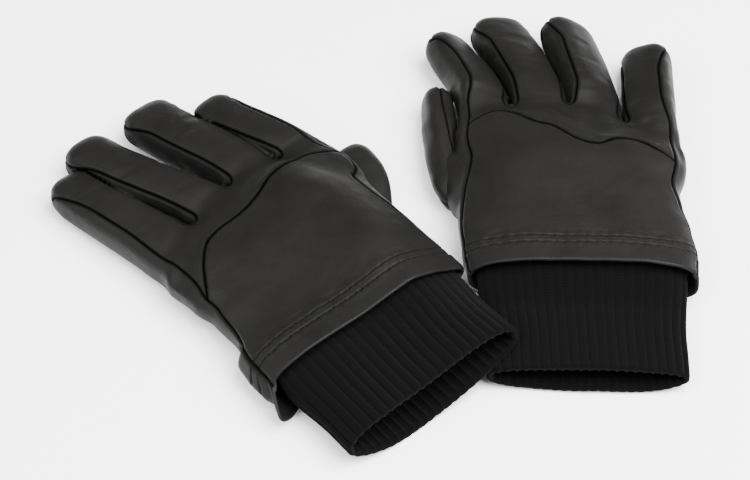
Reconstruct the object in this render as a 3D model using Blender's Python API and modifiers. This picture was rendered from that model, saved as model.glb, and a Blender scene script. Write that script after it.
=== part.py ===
"""A pair of men's leather gloves with ribbed knit cuffs, lying palm down side by side.

Lengths are in millimetres until the meshes are made. Each glove is described in its own
frame: the origin is the middle of the hem, +y runs to the fingertips, -x is the thumb
side and z = 0 is the table.
"""

import math

import bpy
import numpy as np
from mathutils import Matrix, Vector

# Driving dimensions of both gloves.
LEATHER = 1.3  # thickness of the leather
SEAM_GAP = 0.5  # free distance left between two pieces that are sewn together
HEM_WIDTH = 11.5  # height of the turned hem band
HEM_THICK = 2.1  # the hem is folded, so it stands proud of the single leather
HAND_POWER = 2.6  # squareness of the hand's cross-section
FINGER_POWER = 3.0  # squareness of a finger's cross-section
SIDE_SEAM = 0.985  # share of the half width at which the side seams run
FLAT_UNDER = 1.3  # inner height at which the palm lies flat
CUFF_IN = 9.5  # how far the knit cuff reaches up inside the hem
CUFF_WALL = 3.0  # the knit is folded double
RIBS = 44  # ribs round the cuff
RIB_DEPTH = 0.45
LINING = 0.9  # thickness of the lining
LINING_GAP = 1.3  # free distance between lining and leather

# Outer thickness of the hand, in its middle, at heights y.
HAND_THICK = ((0, 28.5), (30, 28.0), (70, 27.5), (100, 25.5), (124, 22.5))
# Fingers: base centre x, base y, half width at base and at tip, half height at base and tip.
FINGERS = {
    "index": (-46.8, 118.0, 12.4, 10.6, 9.9, 8.0),
    "middle": (-17.3, 120.0, 12.8, 11.2, 9.9, 8.2),
    "ring": (12.0, 112.0, 12.2, 10.8, 9.9, 8.0),
    "little": (41.0, 103.0, 12.4, 11.0, 9.7, 7.6),
}
FINGER_LIFT = 45  # degrees that a finger bends up from rest
THUMB_OPEN = 18  # degrees that a thumb swings out from rest

# The two gloves. Edges are y above the hem, thumb edge x and little-finger edge x. "Tuck"
# raises the thumb side, and "flatten" thins it towards its edge. Tips are x, y and centre
# height z. Lean is how far a finger's thumb side is turned up, at its middle and its tip.
# Own fingers are those that differ from FINGERS. The yoke is the wavy seam over the knuckles.
GLOVES = {
    "left": {
        "mirror": -1,
        "yaw": 38.0,
        "hem_middle": (-3.5, -60.0),
        "edges": (
            (0, -57.5, 56.0),
            (15, -57.5, 54.5),
            (37, -57.5, 52.0),
            (50, -57.5, 52.5),
            (64, -57.0, 55.0),
            (95, -55.5, 59.5),
            (124, -55.0, 59.0),
        ),
        "tuck": ((-70, 11.5), (0, 10.0), (40, 12.0), (72, 12.0), (130, 5.0)),
        "flatten": 0.40,
        "cuff_out": 47.5,
        "cuff_half_thick": 12.0,
        "mouth": (-0.5, 49.5),
        "bend": (0.05, 0.75),
        "own_fingers": {
            "index": (-45.6, 117.0, 10.2, 9.4, 9.4, 7.6),
            "little": (42.5, 103.0, 13.2, 10.8, 9.7, 7.6),
        },
        "tips": {
            "index": (-29.5, 179.0, 11.5),
            "middle": (1.5, 197.0, 11.0),
            "ring": (39.5, 194.5, 10.0),
            "little": (61.0, 177.5, 9.5),
        },
        "lean": {"index": (0, 0), "middle": (-5, -8), "ring": (-4, -6), "little": (-4, -4)},
        "thumb": {
            "path": ((-44, 42), (-58, 64), (-72.5, 78), (-72.5, 107)),
            "half_width": (6.5, 8.6, 8.6, 8.0),
            "half_height": (3.4, 3.9, 5.2, 5.2),
            "height": (5.4, 5.8, 7.0, 7.0),
        },
        "yoke": (
            (-58, 97),
            (-41, 104),
            (-29, 104),
            (-17, 101.5),
            (-7, 97),
            (3, 93.5),
            (13, 91.5),
            (24, 90.5),
            (33, 87),
            (42, 79),
            (60, 56),
        ),
    },
    "right": {
        "mirror": 1,
        "yaw": 0.0,
        "hem_middle": (104.0, -26.0),
        "edges": (
            (0, -59.0, 54.5),
            (15, -60.5, 53.8),
            (37, -62.0, 51.3),
            (50, -62.0, 50.8),
            (64, -61.5, 51.3),
            (95, -62.0, 52.5),
            (124, -62.5, 53.0),
        ),
        "tuck": ((-70, 0.0), (0, 1.5), (60, 3.0), (130, 2.5)),
        "flatten": 0.0,
        "cuff_out": 59.0,
        "cuff_half_thick": 8.3,
        "mouth": (-2.0, 48.6),
        "bend": (0.0, 0.62),
        "tips": {
            "index": (-66.5, 177.5, 10.5),
            "middle": (-38.0, 191.0, 10.5),
            "ring": (1.0, 189.5, 11.5),
            "little": (43.5, 169.5, 10.0),
        },
        "lean": {"index": (26, 38), "middle": (12, 18), "ring": (28, 36), "little": (-18, -24)},
        "thumb": {
            "path": ((-70.5, 56), (-71.8, 74), (-72.5, 100), (-71.5, 136)),
            "half_width": (3.0, 6.0, 6.8, 6.4),
            "half_height": (5.4, 7.4, 7.8, 6.8),
            "height": (8.0, 9.0, 9.6, 8.6),
        },
        "yoke": (
            (-62, 94),
            (-50, 104),
            (-38, 108.5),
            (-32, 106),
            (-23, 99.5),
            (-11, 95),
            (1, 85),
            (10, 82.5),
            (20, 86.5),
            (30, 86),
            (42, 80),
            (60, 66),
        ),
    },
}
PAIR_CENTRE = (-2.6, 20.2)  # plan position that becomes the pair's own origin

LEATHER_COLOUR = (0.030, 0.028, 0.025, 1)
GUSSET_COLOUR = (0.022, 0.021, 0.019, 1)
KNIT_COLOUR = (0.012, 0.012, 0.011, 1)
LINING_COLOUR = (0.020, 0.019, 0.018, 1)


def clear_scene():
    for obj in list(bpy.data.objects):
        bpy.data.objects.remove(obj, do_unlink=True)


def material(name, colour, roughness):
    made = bpy.data.materials.new(name)
    made.use_nodes = True
    shader = made.node_tree.nodes["Principled BSDF"]
    shader.inputs["Base Color"].default_value = colour
    shader.inputs["Roughness"].default_value = roughness
    made.diffuse_color = colour
    return made


def along(table, at, column=1):
    """Value of a column of the table at the first column's value, smoothly joined."""
    stops = [row[0] for row in table]
    at = min(max(at, stops[0]), stops[-1])
    here = max(i for i in range(len(stops) - 1) if stops[i] <= at or i == 0)
    share = (at - stops[here]) / (stops[here + 1] - stops[here])
    share = share * share * (3 - 2 * share)
    return table[here][column] * (1 - share) + table[here + 1][column] * share


def curve_at(points, at):
    """Height at x of a smooth curve through the points."""
    xs, ys = zip(*points)
    slopes = np.gradient(ys, xs)
    at = min(max(at, xs[0]), xs[-1])
    here = max(i for i in range(len(xs) - 1) if xs[i] <= at)
    step = xs[here + 1] - xs[here]
    share = (at - xs[here]) / step
    joined = share * share * (3 - 2 * share)
    bow = share * (1 - share) * step
    y = ys[here] * (1 - joined) + ys[here + 1] * joined
    return float(y + bow * ((1 - share) * slopes[here] - share * slopes[here + 1]))


def smooth(value):
    value = min(max(value, 0.0), 1.0)
    return value * value * (3 - 2 * value)


def tuck_height(glove, x, y):
    """How far the thumb tucked under the palm raises the glove at x, y."""
    return along(glove["tuck"], y) * smooth((14 - x) / 64)


def ring_point(centre, half_width, half_height, power, angle):
    """Point of a rounded rectangle: angle 0 is +x, 90 degrees is up."""
    across = math.cos(angle)
    up = math.sin(angle)
    x = centre[0] + half_width * math.copysign(abs(across) ** (2 / power), across)
    z = centre[1] + half_height * math.copysign(abs(up) ** (2 / power), up)
    return x, z


def thinning(glove, x):
    """The hand gets thinner towards the thumb edge of a glove that rests on its thumb."""
    return 1 - glove["flatten"] * smooth((-22 - x) / 38)


def hand_section(glove, y, inset):
    """Middle x, half width, middle z and half height of the inner hand form at y."""
    left = along(glove["edges"], y, 1) + LEATHER + inset
    right = along(glove["edges"], y, 2) - LEATHER - inset
    half_height = (along(HAND_THICK, y) - LEATHER + 1.0) / 2 - inset
    return (left + right) / 2, (right - left) / 2, half_height + 0.3 + inset, half_height


def hand_point(glove, y, angle, inset=0.0):
    middle, half_width, height, half_height = hand_section(glove, y, inset)
    x, z = ring_point((middle, height), half_width, half_height, HAND_POWER, angle)
    above = max(z - FLAT_UNDER - 0.5, inset) * thinning(glove, x)
    return x, y, FLAT_UNDER + above + tuck_height(glove, x, y)


def angle_at(share, under=False):
    """Angle at which the hand's ring is at this share of its half width."""
    angle = math.acos(math.copysign(abs(share) ** (HAND_POWER / 2), share))
    return 2 * math.pi - angle if under else angle


def finger_facts(glove, name):
    return glove.get("own_fingers", {}).get(name, FINGERS[name])


def base_front(glove, x):
    """Line along which the hand ends and the fingers begin."""
    steps = ((-32.3, -31.7), (-3.1, -2.5), (25.8, 26.4))
    ends = [finger_facts(glove, name)[1] for name in FINGERS]
    y = ends[0]
    for (start, stop), after, before in zip(steps, ends[1:], ends):
        y += (after - before) * min(max((x - start) / (stop - start), 0.0), 1.0)
    return y - SEAM_GAP


def bezier(points, t):
    a, b, c, d = (np.array(p, float) for p in points)
    s = 1 - t
    return s**3 * a + 3 * s * s * t * b + 3 * s * t * t * c + t**3 * d


def bezier_side(points, t):
    """Direction across a planar curve, to the right of its travel."""
    step = bezier(points, min(t + 0.01, 1.0))[:2] - bezier(points, max(t - 0.01, 0.0))[:2]
    step /= np.linalg.norm(step)
    return np.array((step[1], -step[0]))


def tip_rounding(t, start=0.80, left=0.30):
    """Share of the full width left at t: the last part of a finger rounds off."""
    if t <= start:
        return 1.0
    reach = (t - start) / (1 - start)
    return max(math.sqrt(max(1 - (reach * 0.965) ** 2.4, 0.0)), left)


def finger_form(glove, name):
    """Function giving the inner surface point of a finger at (t, angle, inset)."""
    x, y, wide, wide_tip, high, high_tip = finger_facts(glove, name)
    tip_x, tip_y, tip_z = glove["tips"][name]
    length = tip_y - y
    square = np.array((1.0, 0.0))
    base_z = high + FLAT_UNDER + 0.4 + tuck_height(glove, x, y)
    early, late = glove["bend"]
    path = (
        (x, y),
        (x + early * (tip_x - x), y + 0.30 * length),
        (x + late * (tip_x - x), y + 0.66 * length),
        (tip_x, tip_y),
    )
    lean, lean_tip = glove["lean"][name]

    def point(t, angle, inset=0.0):
        cap = tip_rounding(t)
        half_width = (wide + (wide_tip - wide) * t) * cap - inset
        half_height = (high + (high_tip - high) * t) * cap - inset
        across, up = ring_point((0, 0), half_width, half_height, FINGER_POWER, angle)
        turn = math.radians(lean * smooth(t / 0.35) + (lean_tip - lean) * smooth((t - 0.35) / 0.65))
        lift = up * math.cos(turn) - across * math.sin(turn) + 2.2 * abs(math.sin(turn))
        across = across * math.cos(turn) + up * math.sin(turn)
        side = square + smooth(t / 0.13) * (bezier_side(path, t) - square)
        at = bezier(path, t) + side * across
        level = base_z + (tip_z - base_z) * smooth(t)
        return at[0], at[1], max(level + lift, FLAT_UNDER + 0.03 * lift)

    return point


def thumb_form(glove):
    thumb = glove["thumb"]

    def spread(values, t):
        return along(list(zip((0, 0.3, 0.65, 1.0), values)), t)

    def point(t, angle, inset=0.0):
        cap = tip_rounding(t, 0.76, 0.34)
        half_width = spread(thumb["half_width"], t) * cap - inset
        half_height = spread(thumb["half_height"], t) * cap - inset
        across, up = ring_point((0, 0), half_width, half_height, FINGER_POWER, angle)
        at = bezier(thumb["path"], t) + bezier_side(thumb["path"], t) * across
        return at[0], at[1], spread(thumb["height"], t) + up

    return point


def to_world(glove, point):
    """From the glove's own frame to the pair's frame, in metres."""
    turn = math.radians(glove["yaw"])
    x, y, z = point[0] * glove["mirror"], point[1], point[2]
    east = x * math.cos(turn) - y * math.sin(turn) + glove["hem_middle"][0]
    north = x * math.sin(turn) + y * math.cos(turn) + glove["hem_middle"][1]
    return (
        (east - PAIR_CENTRE[0]) / 1000,
        (north - PAIR_CENTRE[1]) / 1000,
        z / 1000,
    )


def new_object(name, points, faces, skin, parent):
    mesh = bpy.data.meshes.new(name)
    mesh.from_pydata(points, [], faces)
    mesh.materials.append(skin)
    mesh.update()
    obj = bpy.data.objects.new(name, mesh)
    COLLECTION.objects.link(obj)
    obj.parent = parent
    obj.matrix_parent_inverse = parent.matrix_world.inverted()
    return obj


def grid_faces(rows, columns, mirrored, wrap=False):
    faces = []
    for row in range(rows - 1):
        for column in range(columns if wrap else columns - 1):
            after = (column + 1) % columns
            face = (
                row * columns + column,
                (row + 1) * columns + column,
                (row + 1) * columns + after,
                row * columns + after,
            )
            faces.append(face[::-1] if mirrored else face)
    return faces


def sheet_piece(glove, name, grid, skin, parent, thick=LEATHER):
    """A leather panel: an open grid of points, thickened outwards."""
    points = [to_world(glove, point) for row in grid for point in row]
    faces = grid_faces(len(grid), len(grid[0]), glove["mirror"] < 0)
    obj = new_object(name, points, faces, skin, parent)
    solid = obj.modifiers.new("leather", "SOLIDIFY")
    solid.thickness = thick / 1000
    solid.offset = 1
    return obj


def ring_piece(glove, name, loops, skin, parent):
    """A closed sleeve: loops run along its outside, then back along its inside."""
    points = [to_world(glove, point) for loop in loops for point in loop]
    count = len(loops[0])
    faces = grid_faces(len(loops), count, glove["mirror"] < 0, wrap=True)
    last = (len(loops) - 1) * count
    for column in range(count):
        after = (column + 1) % count
        face = (last + column, column, after, last + after)
        faces.append(face[::-1] if glove["mirror"] < 0 else face)
    return new_object(name, points, faces, skin, parent)


def joint_empty(glove, name, point, parent=None):
    empty = bpy.data.objects.new(name, None)
    COLLECTION.objects.link(empty)
    empty.empty_display_size = 0.01
    empty.matrix_world = Matrix.Translation(Vector(to_world(glove, point)))
    if parent:
        empty.parent = parent
        empty.matrix_parent_inverse = parent.matrix_world.inverted()
    bpy.context.view_layer.update()
    return empty


def spaced(start, stop, count):
    return [start + (stop - start) * i / (count - 1) for i in range(count)]


def columns_at(glove, places):
    """(x, angle on the upper half of the hand's ring) for x places between the side seams."""
    middle, half_width, _, _ = hand_section(glove, 110, 0)
    edge = SIDE_SEAM * half_width
    found = [(middle + edge, angle_at(SIDE_SEAM))]
    found += [(x, angle_at((x - middle) / half_width)) for x in sorted(places, reverse=True)]
    return found + [(middle - edge, angle_at(-SIDE_SEAM))]


def back_panel(glove, side, parent):
    """Lower back of the hand, from the hem band up to the yoke seam."""
    places = (-52, -42, -32, -24, -17, -10, -2.8, 5, 12, 19, 26.1, 34, 42, 50)
    low = HEM_WIDTH + SEAM_GAP
    grid = []
    for share in spaced(0.0, 1.0, 7):
        row = []
        for x, angle in columns_at(glove, places):
            top = curve_at(glove["yoke"], x) - SEAM_GAP / 2
            row.append(hand_point(glove, low + share * (top - low), angle))
        grid.append(row)
    sheet_piece(glove, side + "_back_panel", grid, LEATHER_SKIN, parent)


def knuckle_yoke(glove, side, parent):
    """Upper back of the hand, between the yoke seam and the finger bases."""
    places = (-52, -42, -32.4, -31.6, -24, -17, -10, -3.2, -2.4, 5, 12, 19, 25.7, 26.5, 34, 42, 50)
    grid = []
    for share in spaced(0.0, 1.0, 4):
        row = []
        for x, angle in columns_at(glove, places):
            low = curve_at(glove["yoke"], x) + SEAM_GAP / 2
            row.append(hand_point(glove, low + share * (base_front(glove, x) - low), angle))
        grid.append(row)
    sheet_piece(glove, side + "_knuckle_yoke", grid, LEATHER_SKIN, parent)


def palm_panel(glove, side, parent):
    """Palm leather: the underside, wrapped up round both edges to the side seams."""
    inner = (-50, -40, -32.4, -31.6, -17, -3.2, -2.4, 15.5, 25.7, 26.5, 38, 48)
    middle, half_width, _, _ = hand_section(glove, 110, 0)
    gap = 0.05
    angles = [angle_at(-SIDE_SEAM) + gap, math.pi, math.pi + 0.28]
    angles += [angle_at((x - middle) / half_width, under=True) for x in inner]
    angles += [2 * math.pi - 0.28, 2 * math.pi, 2 * math.pi + angle_at(SIDE_SEAM) - gap]
    fronts = [base_front(glove, -60)] * 3 + [base_front(glove, x) for x in inner] + [base_front(glove, 60)] * 3
    low = HEM_WIDTH + SEAM_GAP
    grid = []
    for share in spaced(0.0, 1.0, 8):
        row = []
        for angle, front in zip(angles, fronts):
            row.append(hand_point(glove, low + share * (front - low), angle))
        grid.append(row)
    sheet_piece(glove, side + "_palm_panel", grid, LEATHER_SKIN, parent)


def hem_band(glove, side, parent):
    """Folded hem round the wrist opening."""
    angles = [2 * math.pi * i / 36 for i in range(36)]
    proud = LEATHER - HEM_THICK
    loops = [
        [hand_point(glove, y, angle, inset) for angle in angles]
        for y, inset in (
            (0, -0.9),
            (0.6, -1.3),
            (HEM_WIDTH, -1.3),
            (HEM_WIDTH, 0.5 + proud / 2),
            (0, 0.5 + proud / 2),
        )
    ]
    ring_piece(glove, side + "_hem_band", loops, LEATHER_SKIN, parent)


def cuff_section(glove, y, inset):
    """Middle x, half width, middle z and half height of the knit cuff at y."""
    out = smooth(-y / 40)
    narrow = 0.8 + 2.2 * smooth((CUFF_IN - y) / 9)
    middle, half_width, height, half_height = hand_section(glove, max(y, 0), narrow)
    mouth_middle, mouth_half_width = glove["mouth"]
    half_width += (mouth_half_width - half_width) * out
    middle += (mouth_middle - middle) * out
    half_height += (glove["cuff_half_thick"] - half_height) * out
    height += (glove["cuff_half_thick"] + 0.4 - height) * out
    return middle, half_width - inset, height, half_height - inset


def cuff_loop(glove, y, inset, depth):
    loop = []
    count = 2 * RIBS
    middle, half_width, height, half_height = cuff_section(glove, y, inset)
    for i in range(count):
        rib = depth if i % 2 else 0.0
        angle = 2 * math.pi * i / count
        x, z = ring_point(
            (middle, height), half_width - rib, half_height - rib, HAND_POWER - 0.2, angle
        )
        z = max(z, (FLAT_UNDER + 0.8 if y > -3 else 0.45) + inset)
        low = min(z, FLAT_UNDER)
        thin = 1 + (thinning(glove, x) - 1) * (1 - smooth(-y / 40))
        loop.append((x, y, low + (z - low) * thin + tuck_height(glove, x, y)))
    return loop


def knit_cuff(glove, side, parent):
    """Ribbed storm cuff, folded double, from inside the hem out to its mouth."""
    mouth = -glove["cuff_out"]
    stations = (
        (mouth + 3.0, CUFF_WALL, 0.0),
        (mouth, 2.0, 0.1),
        (mouth, 1.0, 0.1),
        (mouth + 2.5, 0.0, RIB_DEPTH),
        (-24, 0.0, RIB_DEPTH),
        (-2.0, 0.0, RIB_DEPTH),
        (CUFF_IN, 0.0, RIB_DEPTH),
        (CUFF_IN, CUFF_WALL, 0.0),
        (-14, CUFF_WALL, 0.0),
    )
    loops = [cuff_loop(glove, *station) for station in stations]
    ring_piece(glove, side + "_knit_cuff", loops, KNIT_SKIN, parent)


def hand_lining(glove, side, parent):
    """Lining sleeve inside the hand."""
    angles = [2 * math.pi * i / 26 for i in range(26)]
    front = FINGERS["little"][1] - 1.5
    back = HEM_WIDTH + 1.0
    out, inner = LINING_GAP, LINING_GAP + LINING
    ys = spaced(back, front, 5)
    loops = [[hand_point(glove, y, angle, out) for angle in angles] for y in ys]
    loops += [[hand_point(glove, y, angle, inner) for angle in angles] for y in ys[::-1]]
    ring_piece(glove, side + "_hand_lining", loops, LINING_SKIN, parent)


def seam_angle(t, full=0.56, end=0.86):
    """Angle above the side at which a gusset's seam runs: gussets taper to the tip."""
    share = full * (1 - smooth((t - 0.45) / (end - 0.45))) + 0.16
    return math.asin(share ** (FINGER_POWER / 2))


def strip(glove, name, form, start, stop, ts, columns, parent, skin):
    """Strip of a finger between two angle functions of t."""
    grid = []
    for t in ts:
        low, high = start(t), stop(t)
        grid.append([form(t, angle) for angle in spaced(low, high, columns)])
    sheet_piece(glove, name, grid, skin, parent)


def finger(glove, side, name, parent):
    """Back strip, front strip and the gusset legs of one finger."""
    form = finger_form(glove, name)
    ts = [0, 0.13, 0.28, 0.45, 0.6, 0.72, 0.82, 0.89, 0.945, 0.98, 1.0]
    gap = 0.035
    whole = 2 * math.pi
    outer_index = math.radians(38)
    outer_little = math.radians(14)

    def thumbward(t):
        if name == "index":
            return outer_index * (1 - smooth((t - 0.6) / 0.4)) + 0.12
        return seam_angle(t)

    def littleward(t):
        if name == "little":
            return outer_little
        return seam_angle(t)

    def under_thumbward(t):
        return -thumbward(t) if name == "index" else seam_angle(t)

    def under_littleward(t):
        return -littleward(t) if name == "little" else seam_angle(t)

    strip(
        glove,
        f"{side}_{name}_back",
        form,
        lambda t: littleward(t) + gap,
        lambda t: math.pi - thumbward(t) - gap,
        ts,
        6,
        parent,
        LEATHER_SKIN,
    )
    strip(
        glove,
        f"{side}_{name}_front",
        form,
        lambda t: math.pi + under_thumbward(t) + gap,
        lambda t: whole - under_littleward(t) - gap,
        ts,
        9 if name == "index" else 7,
        parent,
        LEATHER_SKIN,
    )
    gusset_ts = [0, 0.13, 0.28, 0.45, 0.6, 0.72, 0.82, 0.88]
    if name != "little":
        strip(
            glove,
            f"{side}_{name}_gusset_b",
            form,
            lambda t: -seam_angle(t) + gap,
            lambda t: seam_angle(t) - gap,
            gusset_ts,
            3,
            parent,
            GUSSET_SKIN,
        )
    if name != "index":
        strip(
            glove,
            f"{side}_{name}_gusset_a",
            form,
            lambda t: math.pi - seam_angle(t) + gap,
            lambda t: math.pi + seam_angle(t) - gap,
            gusset_ts,
            3,
            parent,
            GUSSET_SKIN,
        )


def thumb(glove, side, parent):
    form = thumb_form(glove)
    ts = [0, 0.15, 0.32, 0.5, 0.66, 0.78, 0.86, 0.92, 0.965, 1.0]
    gap = 0.05
    strip(
        glove,
        side + "_thumb_back",
        form,
        lambda t: gap,
        lambda t: math.pi - gap,
        ts,
        7,
        parent,
        LEATHER_SKIN,
    )
    strip(
        glove,
        side + "_thumb_front",
        form,
        lambda t: math.pi + gap,
        lambda t: 2 * math.pi - gap,
        ts,
        7,
        parent,
        LEATHER_SKIN,
    )


def finger_hinge(glove, name):
    """Point on a finger's hinge axis: the top of its base."""
    x, y, _, _, high, _ = finger_facts(glove, name)
    top = 2 * high + FLAT_UNDER + 0.4 + tuck_height(glove, x, y) + LEATHER
    return x, y, top


def build_glove(side):
    glove = GLOVES[side]
    hand = joint_empty(glove, side + "_hand_root", (0, 0, 0))
    back_panel(glove, side, hand)
    knuckle_yoke(glove, side, hand)
    palm_panel(glove, side, hand)
    hem_band(glove, side, hand)
    knit_cuff(glove, side, hand)
    hand_lining(glove, side, hand)
    for name in FINGERS:
        hinge = joint_empty(glove, f"{side}_{name}_hinge", finger_hinge(glove, name), hand)
        finger(glove, side, name, hinge)
    start = glove["thumb"]["path"][0]
    hinge = joint_empty(glove, side + "_thumb_hinge", (start[0], start[1], 8), hand)
    thumb(glove, side, hinge)


clear_scene()
COLLECTION = bpy.data.collections.new("leather_gloves")
bpy.context.scene.collection.children.link(COLLECTION)
LEATHER_SKIN = material("leather", LEATHER_COLOUR, 0.48)
GUSSET_SKIN = material("gusset_leather", GUSSET_COLOUR, 0.52)
KNIT_SKIN = material("knit", KNIT_COLOUR, 0.92)
LINING_SKIN = material("lining", LINING_COLOUR, 0.95)
for glove_side in GLOVES:
    build_glove(glove_side)
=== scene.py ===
"""Looks of a pair of leather gloves with ribbed knit cuffs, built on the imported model.

Lengths are in millimetres until a mesh is made. Each glove is described in its own frame:
the origin is the middle of the hem, +y runs to the fingertips, -x is the thumb side and
z = 0 is the table. The leather of a glove is one rounded form, made from smooth distance
fields of the hand and the fingers, which is then cut along its seams into its pieces.
"""

import math

import bpy
import numpy as np
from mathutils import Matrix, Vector
from mathutils.kdtree import KDTree


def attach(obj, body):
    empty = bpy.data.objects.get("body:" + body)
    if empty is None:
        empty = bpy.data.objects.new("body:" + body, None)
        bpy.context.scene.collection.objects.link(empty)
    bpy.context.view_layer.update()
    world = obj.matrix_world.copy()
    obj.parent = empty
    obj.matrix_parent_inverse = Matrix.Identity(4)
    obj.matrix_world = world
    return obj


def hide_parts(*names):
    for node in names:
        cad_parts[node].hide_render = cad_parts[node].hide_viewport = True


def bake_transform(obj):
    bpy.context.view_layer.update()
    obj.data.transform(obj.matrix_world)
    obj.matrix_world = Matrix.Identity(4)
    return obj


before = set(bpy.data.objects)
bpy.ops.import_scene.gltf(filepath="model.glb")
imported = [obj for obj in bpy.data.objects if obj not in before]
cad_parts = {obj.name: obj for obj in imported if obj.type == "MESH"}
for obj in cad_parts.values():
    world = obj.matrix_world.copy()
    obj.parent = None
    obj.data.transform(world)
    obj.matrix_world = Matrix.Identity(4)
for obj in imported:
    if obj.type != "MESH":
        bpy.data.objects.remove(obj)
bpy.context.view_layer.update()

GRID = 1.0  # grid step of the leather form
THUMB_GRID = 0.9
LEATHER = 1.3  # thickness of the leather
HEM_WIDTH = 11.3  # height of the lower stitched row, where the hem band ends
HEM_ROWS = (HEM_WIDTH, 15.8)  # both stitched rows
SEAM_CUTS = (-1.3, -0.5, 0.5, 1.3)  # extra rows of points beside a seam
STITCH_PITCH = 3.3
STITCH_HALF = 1.25  # half the length of a stitch
THREAD_RADIUS = 0.25
HAND_POWER = 2.6  # exponents of the rounded sections: higher is squarer
FINGER_POWER = 2.8
THUMB_POWER = 2.7
FINGER_TIP = 14.0  # length of the rounded tip
THUMB_TIP = 12.0
FINGER_LEAD = 40  # how far a finger's form runs back into the hand
THUMB_LEAD = 4
HAND_REACH = 14.0  # length of the hand's rounded front
VALLEY = 1.9  # depth of the hollow across the knuckles
HAND_JOIN = 7.0  # width over which the hand blends into the fingers and the thumb's root
FINGER_JOIN = 1.2
TABLE_GAP = 0.02  # lowest height of the leather
BEND_START = 6.0  # a stretch along each finger runs from here to there, measured from the crotches
BEND_END = 42.0
RIBS = 44  # ribs round a cuff
RIB_DEPTH = 1.15
CUFF_WALL = 3.0
CAMERA_AWAY = 1.1  # metres
CAMERA_RISE = 47  # degrees above the table

HAND_THICK = ((0, 28.5), (30, 28.0), (70, 27.5), (100, 25.5), (124, 22.5))
# Line through the finger crotches, where the finger pieces begin: x, y.
FINGER_LINE = ((-64, 113.0), (-32, 123.0), (-2.3, 123.0), (26, 111.5), (60, 97.0))

# Base centre x, base y, half width at base and tip, half height at base and tip.
FINGERS = {
    "index": (-46.8, 118.0, 12.8, 11.4, 9.9, 8.4),
    "middle": (-17.3, 120.0, 13.4, 14.6, 9.9, 8.6),
    "ring": (12.0, 112.0, 12.8, 13.8, 9.9, 8.4),
    "little": (41.0, 103.0, 12.8, 11.8, 9.7, 8.0),
}
FINGER_NAMES = tuple(FINGERS)

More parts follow.
